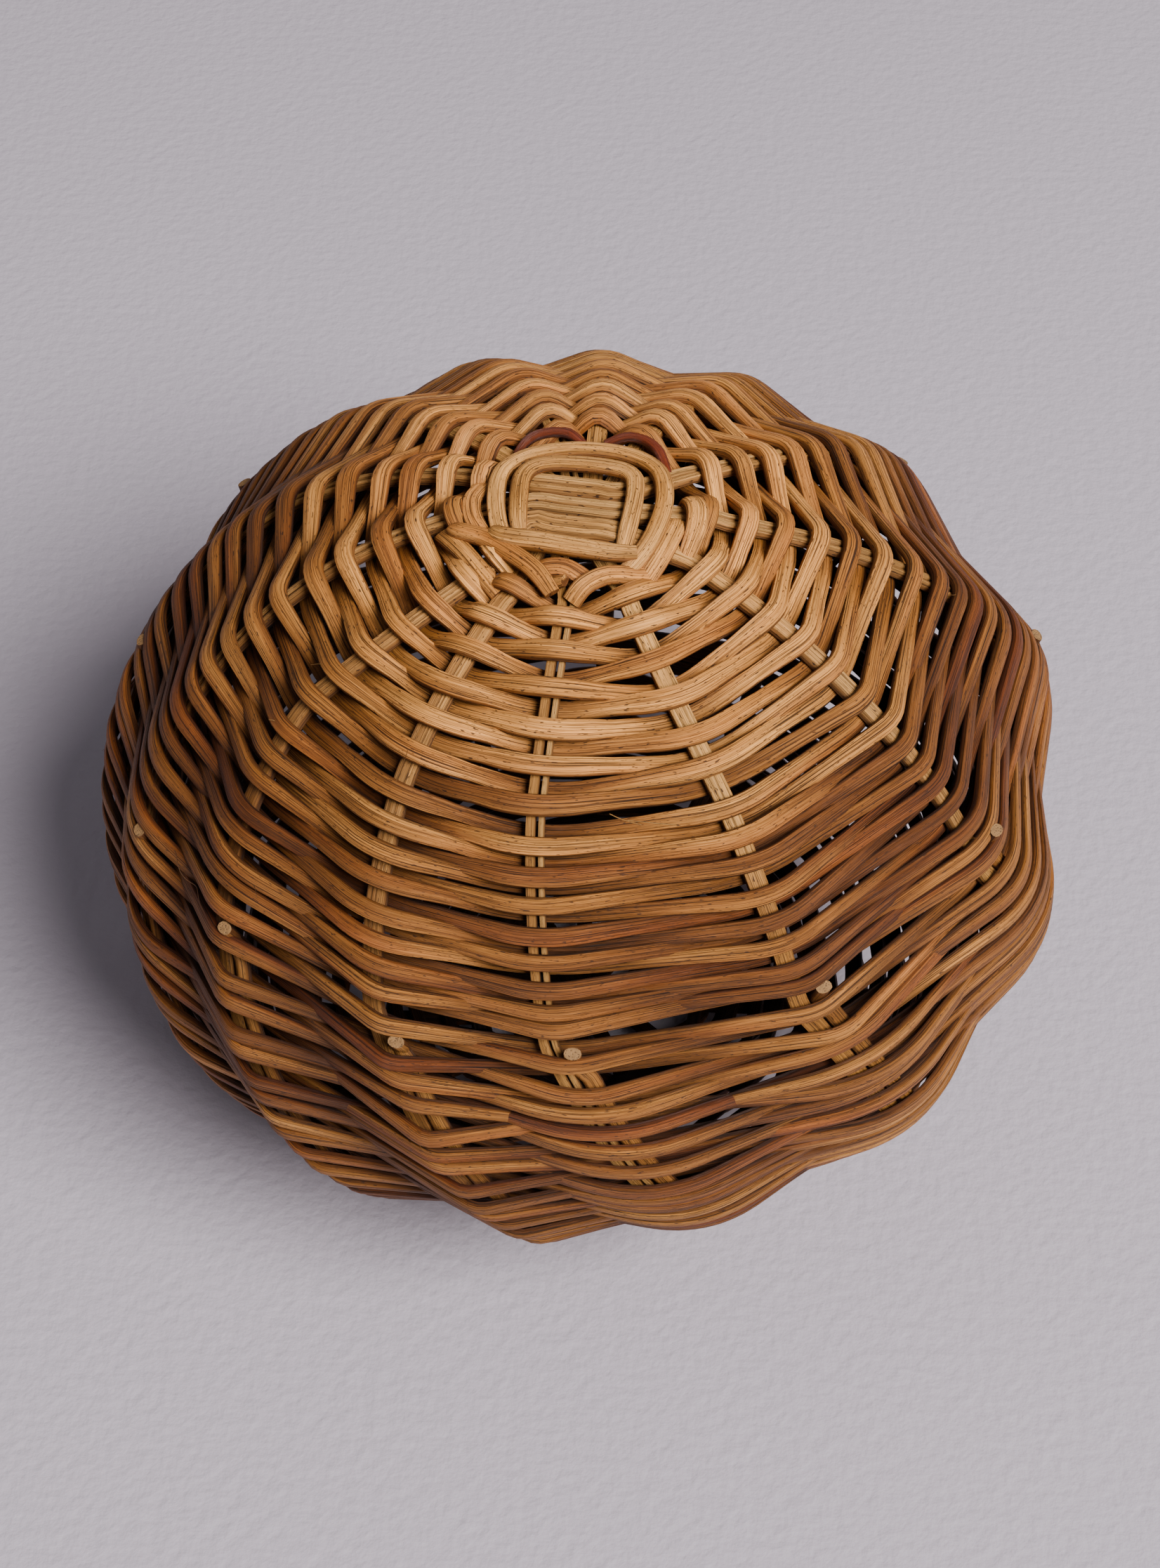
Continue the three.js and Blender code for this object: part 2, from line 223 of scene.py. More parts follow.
def math_node(tree, operation, place, *values):
    node = add_node(tree, "ShaderNodeMath", place, operation=operation)
    for socket, value in zip(node.inputs, values):
        feed(tree, socket, value)
    return node.outputs[0]


def vector_of(tree, place, x, y, z):
    node = add_node(tree, "ShaderNodeCombineXYZ", place)
    for socket, value in zip(node.inputs, (x, y, z)):
        feed(tree, socket, value)
    return node.outputs[0]


def noise(tree, place, vector, scale=1.0, detail=2.0, roughness=0.5):
    node = add_node(tree, "ShaderNodeTexNoise", place)
    node.inputs["Scale"].default_value = scale
    node.inputs["Detail"].default_value = detail
    node.inputs["Roughness"].default_value = roughness
    tree.links.new(vector, node.inputs["Vector"])
    return node.outputs["Fac"]


def ramp(tree, place, value, stops):
    node = add_node(tree, "ShaderNodeValToRGB", place)
    elements = node.color_ramp.elements
    while len(elements) < len(stops):
        elements.new(0.5)
    for element, (position, colour) in zip(elements, stops):
        element.position = position
        element.color = (*colour, 1)
    tree.links.new(value, node.inputs["Fac"])
    return node.outputs["Color"]


def mix_colour(tree, place, blend, amount, first, second):
    node = add_node(tree, "ShaderNodeMix", place, data_type="RGBA", blend_type=blend)
    for socket, value in ((node.inputs[0], amount), (node.inputs[6], first), (node.inputs[7], second)):
        feed(tree, socket, value)
    return node.outputs[2]


# %% [markdown]
# One function makes every cane finish, so that the strands belong together. It takes the three
# colours between which the tone drifts, how red the strands turn, how rough they are, and how
# strongly the fibres show.

# %% Shades and patterns
def grey(value):
    return (value, value, value)


# Painted shade against the height: the cane is darker and redder towards the bottom, and lightest at the top.
LEVEL_HEIGHT = 150 * MM
PAINTED_HEIGHT_SHADES = [
    (0.15, (0.5, 0.42, 0.3)), (0.6, (0.69, 0.585, 0.405)), (0.82, (0.69, 0.58, 0.415)),
    (0.93, (0.85, 0.755, 0.58)), (0.98, (0.97, 0.83, 0.62)),
]
# Painted shade: the two shoulders are darker than the front at the same height.
SHOULDER_REACH = 100 * MM
SHOULDER_SHADE = (0.66, 0.6, 0.53)
SHOULDER_SIDES = [(0.25, grey(0.0)), (0.6, grey(1.0))]
SHOULDER_HEIGHTS = [(0.62, grey(0.0)), (0.76, grey(1.0))]
# The top is hardly red at all, and its tone leans towards straw.
RED_SHADES = [(0.8, grey(1.0)), (0.95, grey(0.4))]
RED_TONE = (0.86, 0.62, 0.56)
LEAN_PER_LEVEL, LEAN_START, LEAST_LEAN = 0.5, -0.43, -0.045
# Each pattern's three numbers: how finely it changes round the strand and along it, and its shift
# from one strand to the next. Then the shades that the finer patterns give.
TONE_PATTERN = (0.15, 0.009, 3.1)
RED_PATTERN = (0.25, 0.011, 5.7)
BROAD_PATTERN = (1.7, 0.03, 1.3)
FIBRE_PATTERN = (7.6, 0.032, 2.3)
PORE_PATTERN = (5.4, 0.7, 4.9)
GRIME_PATTERN = (1.1, 0.11, 6.3)
BROAD_SHADES = [(0.36, grey(0.72)), (0.62, grey(1.08))]
FIBRE_SHADES = [(0.4, grey(0.1)), (0.45, grey(0.52)), (0.5, grey(0.94)), (0.58, (1.24, 1.36, 1.62))]
GRIME_SHADES = [(0.34, (0.5, 0.44, 0.38)), (0.5, grey(1.0))]
PORE_SHARES = [(0.3, grey(0.9)), (0.34, grey(0.0))]
PORE_COLOUR = (0.04, 0.015, 0.006)
# Painted shade: the strands' sides and inner faces, turned away from the outside, are darker than their outer
# faces.
PAINTED_GROOVE_SHADES = [(0.1, (0.26, 0.2, 0.15)), (0.5, (0.42, 0.35, 0.29)), (0.8, grey(1.02))]
# Painted shade: strands that lie inside the ball's middle surface are darker, as in a recess.
DEPTH_GAIN = 10.0
PAINTED_DEPTH_SHADES = [(0.22, (0.42, 0.38, 0.33)), (0.42, (0.84, 0.81, 0.78)), (0.54, grey(1.0))]

# %% Painted shade by depth and by side
def painted_depth_shade(tree, place, rise):
    """Painted shade by distance from the ball's middle surface: 0.5 on it, 0.1 more for each 1 % further out.
    """
    flat = vector_of(tree, (-1700, 1100), 1 / RADIUS, 1 / RADIUS, 0)
    spread = add_node(tree, "ShaderNodeVectorMath", (-1500, 1100), operation="MULTIPLY")
    tree.links.new(place, spread.inputs[0])
    tree.links.new(flat, spread.inputs[1])
    radial = add_node(tree, "ShaderNodeVectorMath", (-1300, 1100), operation="LENGTH")
    tree.links.new(spread.outputs[0], radial.inputs[0])
    above = math_node(tree, "SUBTRACT", (-1500, 950), rise.outputs["Z"], CENTRE_HEIGHT)
    upper = math_node(tree, "MULTIPLY", (-1300, 950), above, 1 / TOP_HEIGHT)
    lower = math_node(tree, "MULTIPLY", (-1300, 850), above, -1 / BOTTOM_HEIGHT)
    level = math_node(tree, "MAXIMUM", (-1100, 900), upper, lower)
    flat_square = math_node(tree, "MULTIPLY", (-1100, 1100), radial.outputs["Value"], radial.outputs["Value"])
    level_square = math_node(tree, "MULTIPLY", (-900, 900), level, level)
    total = math_node(tree, "ADD", (-700, 1000), flat_square, level_square)
    distance = math_node(tree, "SQRT", (-500, 1000), total)
    outside = math_node(tree, "MULTIPLY_ADD", (-300, 1000), distance, DEPTH_GAIN, 0.5 - DEPTH_GAIN)
    return ramp(tree, (-100, 1000), outside, PAINTED_DEPTH_SHADES)


def shoulder_shade_share(tree, rise, level):
    """How far a place is out on one of the two shoulders, where shade is painted."""
    aside = math_node(tree, "ABSOLUTE", (-1500, 820), rise.outputs["X"])
    aside = math_node(tree, "MULTIPLY", (-1300, 820), aside, 1 / SHOULDER_REACH)
    sides = ramp(tree, (-1100, 820), aside, SHOULDER_SIDES)
    heights = ramp(tree, (-1100, 760), level, SHOULDER_HEIGHTS)
    return mix_colour(tree, (-900, 800), "MULTIPLY", 1.0, sides, heights)


# %% The cane finish
def cane_finish(name, straw, honey, brown, red_share, roughness, streak):
    material = bpy.data.materials.new(name)
    material.use_nodes = True
    tree = material.node_tree
    shader = tree.nodes["Principled BSDF"]
    uv = add_node(tree, "ShaderNodeUVMap", (-1900, 0), uv_map="UVMap")
    split = add_node(tree, "ShaderNodeSeparateXYZ", (-1700, 0))
    tree.links.new(uv.outputs[0], split.inputs[0])
    start = add_node(tree, "ShaderNodeAttribute", (-1900, -300), attribute_name="cane_start").outputs["Fac"]
    angle = math_node(tree, "MULTIPLY", (-1500, 100), split.outputs["X"], 2 * math.pi)
    cosine = math_node(tree, "COSINE", (-1300, 150), angle)
    sine = math_node(tree, "SINE", (-1300, 0), angle)
    run = math_node(tree, "MULTIPLY", (-1500, -150), split.outputs["Y"], SLICE / MM)

    def strand_vector(height, around, along, seed_step):
        """The strand's place in one pattern, as three numbers for a noise node."""
        x = math_node(tree, "MULTIPLY", (-1100, height), cosine, around)
        y = math_node(tree, "MULTIPLY", (-1100, height - 60), sine, around)
        z = math_node(tree, "MULTIPLY", (-1100, height - 120), run, along)
        shift = math_node(tree, "MULTIPLY", (-1100, height - 180), start, seed_step)
        x = math_node(tree, "ADD", (-950, height), x, shift)
        return vector_of(tree, (-800, height), x, y, z)

    tone = noise(tree, (-600, 500), strand_vector(500, *TONE_PATTERN), detail=2.0)
    red = noise(tree, (-600, 250), strand_vector(250, *RED_PATTERN), detail=1.0)
    broad = noise(tree, (-600, 0), strand_vector(0, *BROAD_PATTERN), detail=2.0)
    fibre = noise(tree, (-600, -250), strand_vector(-250, *FIBRE_PATTERN), detail=4.0, roughness=0.75)
    pores = noise(tree, (-600, -500), strand_vector(-500, *PORE_PATTERN), detail=1.0)
    grime = noise(tree, (-600, -750), strand_vector(-750, *GRIME_PATTERN), detail=3.0, roughness=0.6)

    place = add_node(tree, "ShaderNodeTexCoord", (-1900, 700)).outputs["Object"]
    rise = add_node(tree, "ShaderNodeSeparateXYZ", (-1700, 700))
    tree.links.new(place, rise.inputs[0])
    level = math_node(tree, "MULTIPLY", (-1500, 700), rise.outputs["Z"], 1 / LEVEL_HEIGHT)
    lean = math_node(tree, "MULTIPLY_ADD", (-1300, 700), level, LEAN_PER_LEVEL, LEAN_START)
    lean = math_node(tree, "MAXIMUM", (-1100, 700), lean, LEAST_LEAN)
    tone = math_node(tree, "ADD", (-450, 600), tone, lean)

    base = ramp(tree, (-350, 500), tone, [(0.36, brown), (0.5, honey), (0.63, straw)])
    red_amount = ramp(tree, (-350, 250), red, [(0.5, grey(0.0)), (0.66, grey(red_share))])
    red_height = ramp(tree, (-350, 800), level, RED_SHADES)
    red_amount = mix_colour(tree, (-150, 250), "MULTIPLY", 1.0, red_amount, red_height)
    reddish = mix_colour(tree, (-50, 350), "MULTIPLY", red_amount, base, RED_TONE)
    broad_tone = ramp(tree, (-350, 0), broad, BROAD_SHADES)
    streaked = mix_colour(tree, (150, 250), "MULTIPLY", 0.85, reddish, broad_tone)
    fibre_tone = ramp(tree, (-350, -250), fibre, FIBRE_SHADES)
    fibred = mix_colour(tree, (350, 200), "MULTIPLY", streak, streaked, fibre_tone)
    grime_tone = ramp(tree, (-350, -750), grime, GRIME_SHADES)
    dirty = mix_colour(tree, (450, 100), "MULTIPLY", 0.4, fibred, grime_tone)
    pore_mask = ramp(tree, (-50, -500), pores, PORE_SHARES)
    # Painted shade: darker towards the bottom, and darker again on the two shoulders.
    height_shade = ramp(tree, (-50, 700), level, PAINTED_HEIGHT_SHADES)
    painted_shaded = mix_colour(tree, (520, 300), "MULTIPLY", 1.0, dirty, height_shade)
    painted_shaded = mix_colour(tree, (540, 300), "MULTIPLY", shoulder_shade_share(tree, rise, level), painted_shaded, SHOULDER_SHADE)
    # Painted shade: the strands' sides and inner faces are darker.
    facing = math_node(tree, "MULTIPLY_ADD", (-50, 900), cosine, 0.5, 0.5)
    groove_shade = ramp(tree, (150, 900), facing, PAINTED_GROOVE_SHADES)
    groove_shaded = mix_colour(tree, (560, 500), "MULTIPLY", 1.0, painted_shaded, groove_shade)
    # Painted shade on strands that lie inside the middle surface.
    depth_shaded = mix_colour(tree, (580, 700), "MULTIPLY", 1.0, groove_shaded, painted_depth_shade(tree, place, rise))
    final = mix_colour(tree, (600, 100), "MIX", pore_mask, depth_shaded, PORE_COLOUR)
    tree.links.new(final, shader.inputs["Base Color"])
    gloss = ramp(tree, (350, -250), fibre, [(0.35, grey(roughness + 0.2)), (0.65, grey(roughness - 0.06))])
    tree.links.new(gloss, shader.inputs["Roughness"])
    shader.inputs["Specular IOR Level"].default_value = 0.3
    relief = math_node(tree, "MULTIPLY", (150, -450), fibre, 0.9)
    relief = math_node(tree, "ADD", (300, -450), relief, broad)
    bump = add_node(tree, "ShaderNodeBump", (600, -350))
    bump.inputs["Strength"].default_value = 0.9
    bump.inputs["Distance"].default_value = 0.4 * MM
    tree.links.new(relief, bump.inputs["Height"])
    tree.links.new(bump.outputs[0], shader.inputs["Normal"])
    return material


# %% The five finishes
weaver_finish = cane_finish(
    "weaver_cane", (0.9, 0.44, 0.13), (0.56, 0.24, 0.056), (0.3, 0.112, 0.027),
    red_share=0.85, roughness=0.5, streak=1.0)
stake_finish = cane_finish(
    "stake_cane", (0.86, 0.5, 0.19), (0.7, 0.37, 0.12), (0.5, 0.24, 0.065),
    red_share=0.1, roughness=0.55, streak=0.8)
rod_finish = cane_finish(
    "rod_cane", (0.66, 0.33, 0.1), (0.5, 0.23, 0.06), (0.3, 0.12, 0.028),
    red_share=0.25, roughness=0.55, streak=0.9)
wrap_finish = cane_finish(
    "wrap_cane", (0.84, 0.44, 0.145), (0.68, 0.33, 0.09), (0.46, 0.2, 0.045),
    red_share=0.25, roughness=0.42, streak=0.85)
red_finish = cane_finish(
    "red_skin_cane", (0.22, 0.045, 0.02), (0.2, 0.05, 0.02), (0.4, 0.2, 0.07),
    red_share=0.3, roughness=0.3, streak=0.7)
print("finishes", [m.name for m in bpy.data.materials if m.name.endswith("_cane")])

# %% [markdown]
# A cut cane end is dull and full of round pores, like the end of a bundle of drinking straws. The
# pores come from a cell pattern on the object's own coordinates.

# %% The cut-end finish
CUT_CELLS = 2600
CUT_SHADES = [(0.16, (0.05, 0.022, 0.008)), (0.36, (0.26, 0.135, 0.048))]


def cut_finish(name):
    material = bpy.data.materials.new(name)
    material.use_nodes = True
    tree = material.node_tree
    shader = tree.nodes["Principled BSDF"]
    place = add_node(tree, "ShaderNodeTexCoord", (-900, 0)).outputs["Object"]
    cells = add_node(tree, "ShaderNodeTexVoronoi", (-700, 0), feature="F1")
    cells.inputs["Scale"].default_value = CUT_CELLS
    tree.links.new(place, cells.inputs["Vector"])
    cell_tone = ramp(tree, (-450, 0), cells.outputs["Distance"], CUT_SHADES)
    mottle = noise(tree, (-700, -300), place, scale=900, detail=2)
    mottle_tone = ramp(tree, (-450, -300), mottle, [(0.3, grey(0.7)), (0.65, grey(1.1))])
    final = mix_colour(tree, (-150, 0), "MULTIPLY", 0.8, cell_tone, mottle_tone)
    tree.links.new(final, shader.inputs["Base Color"])
    shader.inputs["Roughness"].default_value = 0.8
    bump = add_node(tree, "ShaderNodeBump", (-150, -300))
    bump.inputs["Strength"].default_value = 0.7
    bump.inputs["Distance"].default_value = 0.15 * MM
    tree.links.new(cells.outputs["Distance"], bump.inputs["Height"])
    tree.links.new(bump.outputs[0], shader.inputs["Normal"])
    return material


cut_end_finish = cut_finish("cut_end")
print("cut ends", cut_end_finish.name)

# %% [markdown]
# ## One way to lay every strand
# A maker takes a straight length of cane and bends it along its way. Blender can do the same: one
# short slice of cane is modelled, an Array modifier repeats it as far as the route is long, and a
# Curve modifier bends the straight bar onto the route. The route's tilt keeps the flat side of the
# cane on the ball, and its radius makes the cane thinner or thicker on the way.

# %% The slice of cane
MERGE_DISTANCE = 0.05 * MM
SMOOTH_ANGLE = math.radians(50)


def clear_selection():
    for item in bpy.context.selected_objects:
        item.select_set(False)


def only(item):
    clear_selection()
    item.select_set(True)
    bpy.context.view_layer.objects.active = item


def cane_slice(width, thickness, flat=0.25, sides=12, length=SLICE):
    """An open ring of cane along X, wide along Z, its faces flattened by the share given."""
    clear_selection()
    bpy.ops.mesh.primitive_cylinder_add(
        vertices=sides, radius=0.5, depth=length, end_fill_type="NOTHING",
        location=(length / 2, 0, 0), rotation=(0, math.pi / 2, 0),
    )
    ring = bpy.context.object
    bpy.ops.object.transform_apply(location=True, rotation=True, scale=True)
    for vertex in ring.data.vertices:
        level = vertex.co.y / 0.5
        squared = math.copysign(abs(level) ** (1 - flat), level)
        vertex.co.y = squared * 0.5 * thickness
        vertex.co.z = vertex.co.z * width
    return ring


def flat_tilt(tangent, normal):
    """Turn about a level-kept strand that brings its flat side onto the surface."""
    across = tangent.cross(normal).normalized()
    upright = (Vector((0, 0, 1)) - tangent * tangent.z).normalized()
    return math.atan2(tangent.dot(upright.cross(across)), upright.dot(across))


# %% Lay one strand
def close_ends(bar):
    """Fills the two open ends and turns every face outward."""
    bpy.ops.object.mode_set(mode="EDIT")
    bpy.ops.mesh.select_mode(type="VERT")
    bpy.ops.mesh.select_all(action="DESELECT")
    bpy.ops.mesh.select_non_manifold()
    bpy.ops.mesh.fill_holes(sides=0)
    bpy.ops.mesh.select_all(action="SELECT")
    bpy.ops.mesh.normals_make_consistent(inside=False)
    bpy.ops.mesh.select_all(action="DESELECT")
    bpy.ops.object.mode_set(mode="OBJECT")


def lay_cane(name, route, width, thickness, flat=0.25, sides=12, upright=True, seed=0.0, length=SLICE):
    """Bends a bar of cane along route, a list of (point, normal, scale), and closes its ends."""
    bar = cane_slice(width, thickness, flat, sides, length)
    bar.name = name
    bar.data.name = name
    path_data = bpy.data.curves.new(name + "_route", "CURVE")
    path_data.dimensions = "3D"
    path_data.twist_mode = "Z_UP" if upright else "MINIMUM"
    line = path_data.splines.new("POLY")
    line.points.add(len(route) - 1)
    tilts = [flat_tilt((route[1][0] - route[0][0]).normalized(), route[0][1])] * len(route)
    if upright:
        for i, (_, normal, _) in enumerate(route):
            before = route[max(0, i - 1)][0]
            after = route[min(len(route) - 1, i + 1)][0]
            tilts[i] = flat_tilt((after - before).normalized(), normal)
    line.points.foreach_set("co", [value for point, _, _ in route for value in (*point, 1.0)])
    line.points.foreach_set("tilt", tilts)
    line.points.foreach_set("radius", [scale for _, _, scale in route])
    path = bpy.data.objects.new(name + "_route", path_data)
    bpy.context.collection.objects.link(path)
    repeat = bar.modifiers.new("repeat", "ARRAY")
    repeat.fit_type = "FIT_CURVE"
    repeat.curve = path
    repeat.use_merge_vertices = True
    repeat.merge_threshold = MERGE_DISTANCE
    repeat.offset_v = 1.0  # each slice's V starts where the last one ended
    bend = bar.modifiers.new("bend", "CURVE")
    bend.object = path
    bend.deform_axis = "POS_X"
    only(bar)
    bpy.ops.object.modifier_apply(modifier=repeat.name)
    bpy.ops.object.modifier_apply(modifier=bend.name)
    close_ends(bar)
    bpy.data.objects.remove(path)
    start = bar.data.attributes.new("cane_start", "FLOAT", "POINT")
    start.data.foreach_set("value", [seed] * len(bar.data.vertices))
    return bar


# %% Join and finish strands
def join_canes(name, bars):
    """Makes one piece of several strands that belong together."""
    clear_selection()
    for bar in bars:
        bar.select_set(True)
    bpy.context.view_layer.objects.active = bars[0]
    bpy.ops.object.join()
    bars[0].name = name
    bars[0].data.name = name
    return bars[0]


def finish_cane(bar, slot, nodes, *finishes):
    """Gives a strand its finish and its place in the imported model. A second finish is for its cut ends."""
    only(bar)
    bar.data.materials.clear()
    for finish in finishes:
        bar.data.materials.append(finish)
    if len(finishes) > 1:
        for face in bar.data.polygons:
            face.material_index = 1 if len(face.vertices) > 4 else 0
    bpy.ops.object.shade_smooth_by_angle(angle=SMOOTH_ANGLE)
    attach(bar, "root")
    if nodes:
        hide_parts(*nodes)
    print(bar.name, "triangles", sum(len(f.vertices) - 2 for f in bar.data.polygons))


# %% [markdown]
# ## The woven spiral
# At each stake the strand bows outward or ducks inward. It bends sharply over a stake and hardly at
# all behind one, and runs nearly straight between them. So the route has a corner at each crossing,
# rounded off by a short curve whose top touches the stake. No two crossings are quite alike, and a
# fixed random sequence moves each one a little.

# %% The weaver's route
WEAVER_WIDTH = 3.3 * MM
WEAVER_THICKNESS = 2.1 * MM
UPPER_STAND_OFF = 2.3 * MM
LOWER_STAND_OFF = 2.7 * MM
FRONT_STAND_OFF = 3.2 * MM
RIGHT_STAND_OFF = 2.3 * MM
POLE_STAND_OFF = 2.9 * MM
FRONT_STAKES = (0, 1, 2, 12)
RIGHT_STAKES = (0, 9, 10, 11, 12)
TOP_WANDER, UPPER_WANDER, LOWER_WANDER = 0.15 * MM, 0.25 * MM, 0.78 * MM
UNDER_WANDER, OVER_WANDER = 1.5, 0.9
OUTWARD_SINK, INWARD_SINK = 0.25 * MM, 0.6 * MM
chance = random.Random(13)
shifts = [
    (chance.gauss(0, 1), chance.gauss(0, 0.4), chance.uniform(0, 1))
    for _ in range(crossing_count + 2)
]


def weave_point(crossing):
    """Where the strand's centre line is at one crossing, with the surface's normal."""
    arc = row_arc(turn_of(crossing))
    low = ease(arc / MM, 96, 112)
    from_pole = min(arc, ARC_TOTAL - arc) / MM
    along, sideways, sink = shifts[crossing]
    room = TOP_WANDER + UPPER_WANDER * ease(arc / MM, 24, 40) + LOWER_WANDER * low
    room *= UNDER_WANDER if crossing % 2 else OVER_WANDER
    arc += max(-2 * room, min(2 * room, along * room))
    angle = crossing_angle(crossing % STAKES, arc) + math.degrees(sideways * MM / surface_at(arc, 0)[2])
    point, normal, _ = surface_at(arc, angle)
    stake = crossing % STAKES
    lower = FRONT_STAND_OFF if stake in FRONT_STAKES else LOWER_STAND_OFF
    if stake in RIGHT_STAKES:
        lower += (RIGHT_STAND_OFF - lower) * ease(arc / MM, 114, 126)
    reach = UPPER_STAND_OFF + (lower - UPPER_STAND_OFF) * low
    reach += (POLE_STAND_OFF - reach) * (1 - ease(from_pole, 24, 44))
    if crossing % 2 == 0:
        return point + normal * (reach - OUTWARD_SINK * sink), normal
    return point - normal * (reach + INWARD_SINK * sink), normal


# %% Bends and widths
# Half the length of a bend over a stake, half that of one behind, and how much a soft bend adds.
OVER_REACH, UNDER_REACH, SOFT_REACH = 3.6 * MM, 6.0 * MM, 3.6 * MM
MOST_REACH = 0.36
CORNER_ROUNDS = 3
CORNER_STEPS = 8
RUN_SCALE = 0.88
UNDER_SCALE = 0.96
TAIL_GAP = 0.03
TAIL_SCALE = 0.75


def softness(crossing):
    """How much longer the bend is at a crossing, as a share of SOFT_REACH."""
    stake = crossing % STAKES
    arc = row_arc(turn_of(crossing)) / MM
    if stake in (0, 1, 12):
        soft = ease(arc, 30, 50) * (1 - ease(arc, 88, 104))
    else:
        soft = 1.4 * ease(arc, 75, 105)
    if stake in (0, 1, 2):
        soft += (-0.35 - soft) * ease(arc, 96, 106)
    if stake in RIGHT_STAKES:
        soft = max(soft, 3.0 * ease(arc, 108, 122))
    return soft


def strand_scale(crossing):
    """Width at a crossing: widest near the top, with two slow waves, and squeezed behind a stake."""
    arc = row_arc(turn_of(crossing)) / MM
    wide = 0.96 + 0.22 * (1 - ease(arc, 45, 95))
    wide += 0.06 * math.sin(0.37 * crossing) + 0.04 * math.sin(1.7 * crossing)
    return wide if crossing % 2 == 0 else wide * UNDER_SCALE


# %% A route with rounded corners
def rounded_route(corners, reaches, scales):
    """Straight runs between the corners, each corner rounded by a curve through its own point."""
    points = [corner[0].copy() for corner in corners]
    for _ in range(CORNER_ROUNDS):
        runs = [(b - a).normalized() for a, b in zip(points, points[1:])]
        for i in range(1, len(points) - 1):
            points[i] = corners[i][0] - (runs[i] - runs[i - 1]) * reaches[i] / 4
    runs = [(b - a).normalized() for a, b in zip(points, points[1:])]
    route = [(points[0], corners[0][1], scales[0])]
    for i in range(1, len(points) - 1):
        first = points[i] - runs[i - 1] * reaches[i]
        last = points[i] + runs[i] * reaches[i]
        for step in range(CORNER_STEPS + 1):
            share = step / CORNER_STEPS
            place = first * (1 - share) ** 2 + points[i] * 2 * share * (1 - share) + last * share ** 2
            route.append((place, corners[i][1], scales[i]))
        if i < len(points) - 2:
            middle = (last + points[i + 1] - runs[i] * reaches[i + 1]) / 2
            normal = (corners[i][1] + corners[i + 1][1]).normalized()
            route.append((middle, normal, (scales[i] + scales[i + 1]) / 2 * RUN_SCALE))
    route.append((points[-1], corners[-1][1], scales[-1]))
    return route


def weave_route(first, last):
    """Route from crossing first to last, with a short tail behind the stake at each end."""
    corners = [weave_point(c) for c in range(first, last + 1)]
    if first:
        corners[0] = (corners[0][0].lerp(corners[1][0], TAIL_GAP), corners[0][1])
    if last < crossing_count - 1:
        corners[-1] = (corners[-1][0].lerp(corners[-2][0], TAIL_GAP), corners[-1][1])
    lengths = [(a[0] - b[0]).length for a, b in zip(corners, corners[1:])]
    reaches, scales = [], []
    for i, crossing in enumerate(range(first, last + 1)):
        reach = OVER_REACH if crossing % 2 == 0 else UNDER_REACH
        reach += SOFT_REACH * softness(crossing)
        reaches.append(min(reach, min(lengths[max(0, i - 1):i + 1]) * MOST_REACH))
        scales.append(strand_scale(crossing))
    scales[0] = scales[-1] = TAIL_SCALE
    return rounded_route(corners, reaches, scales)


# %% [markdown]
# Cane comes in lengths, so the spiral is sixteen strands joined behind stakes, where the joins don't
# show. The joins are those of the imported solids, moved to the nearest stake that the strand passes
# behind.

# %% Lay the sixteen weaver lengths
WEAVER_LENGTHS = 16
solid_gaps = np.linalg.norm(np.diff(solid_points, axis=0), axis=1)
cane_so_far = np.concatenate([[0], np.cumsum(solid_gaps)])
join_lengths = np.linspace(0, 1, WEAVER_LENGTHS + 1) * cane_so_far[-1]
joins = [int(np.searchsorted(cane_so_far, length - 1e-9)) for length in join_lengths]
joins = [j if j % 2 == 1 or j in (0, joins[-1]) else j + 1 for j in joins]
for i in range(WEAVER_LENGTHS):
    name = f"weaver_{i + 1:02d}"
    route = weave_route(joins[i], joins[i + 1])
    strand = lay_cane("cane_" + name, route, WEAVER_WIDTH, WEAVER_THICKNESS, flat=0.5, seed=i + 0.37)
    finish_cane(strand, "weaver_cane", [name], weaver_finish)

# %% [markdown]
# ## Stakes and rods
# The stakes are long strips split from thicker cane. Seven of them cross at the top in two layers,
# and as one starts inside the cross, thirteen arms run down. Three of the seven are two narrow
# splits lying side by side. Each is laid the same way as a weaver, but its route runs over the top
# of the ball, so the bar is kept from twisting instead of being held level.

# %% Routes for stakes and rods
BLOCK_TURN = -9
BLOCK_PLACE = Vector((-2.0, -1.6, 0)) * MM
BOTTOM_BLOCK_TURN = 27
# The stakes that each strand of the cross runs to, and how far off the middle it lies, in millimetres.
ALONG_PITCH = 5.3
ACROSS_PITCH = 3.6
ALONG_ROWS = [((2, 11), -ALONG_PITCH), ((3, 10), 0.0), ((4, 9), ALONG_PITCH)]
ACROSS_ROWS = [
    ((1, 5), -1.5 * ACROSS_PITCH), ((0, 6), -0.5 * ACROSS_PITCH),
    ((None, 7), 0.5 * ACROSS_PITCH), ((12, 8), 1.5 * ACROSS_PITCH),
]
PAIR_SINK = 0.45 * MM
TOP_LAYER_LIFT = 1.2 * MM
BLOCK_LIFT = 0.35 * MM
FLOOR_GAP = 0.25 * MM
ROD_THICKNESS = 2.5 * MM
ARM_START, ARM_END, ARM_STEP = 22, 147, 4
# Where each rod's cut tip comes out, in millimetres of arc, and the last places of a rod: how far
# below the tip, how far outward, and how wide.
TIP_ARCS = [105.5, 109.2, 108.4, 108.3, 100, 105, 105, 105, 105, 105, 105, 98.5, 101.7]
TIP_PLACES = [(3.4, -0.5, 1.0), (1.9, 0.1, 1.0), (0.6, 1.7, 0.97), (-0.6, 3.2, 0.9)]


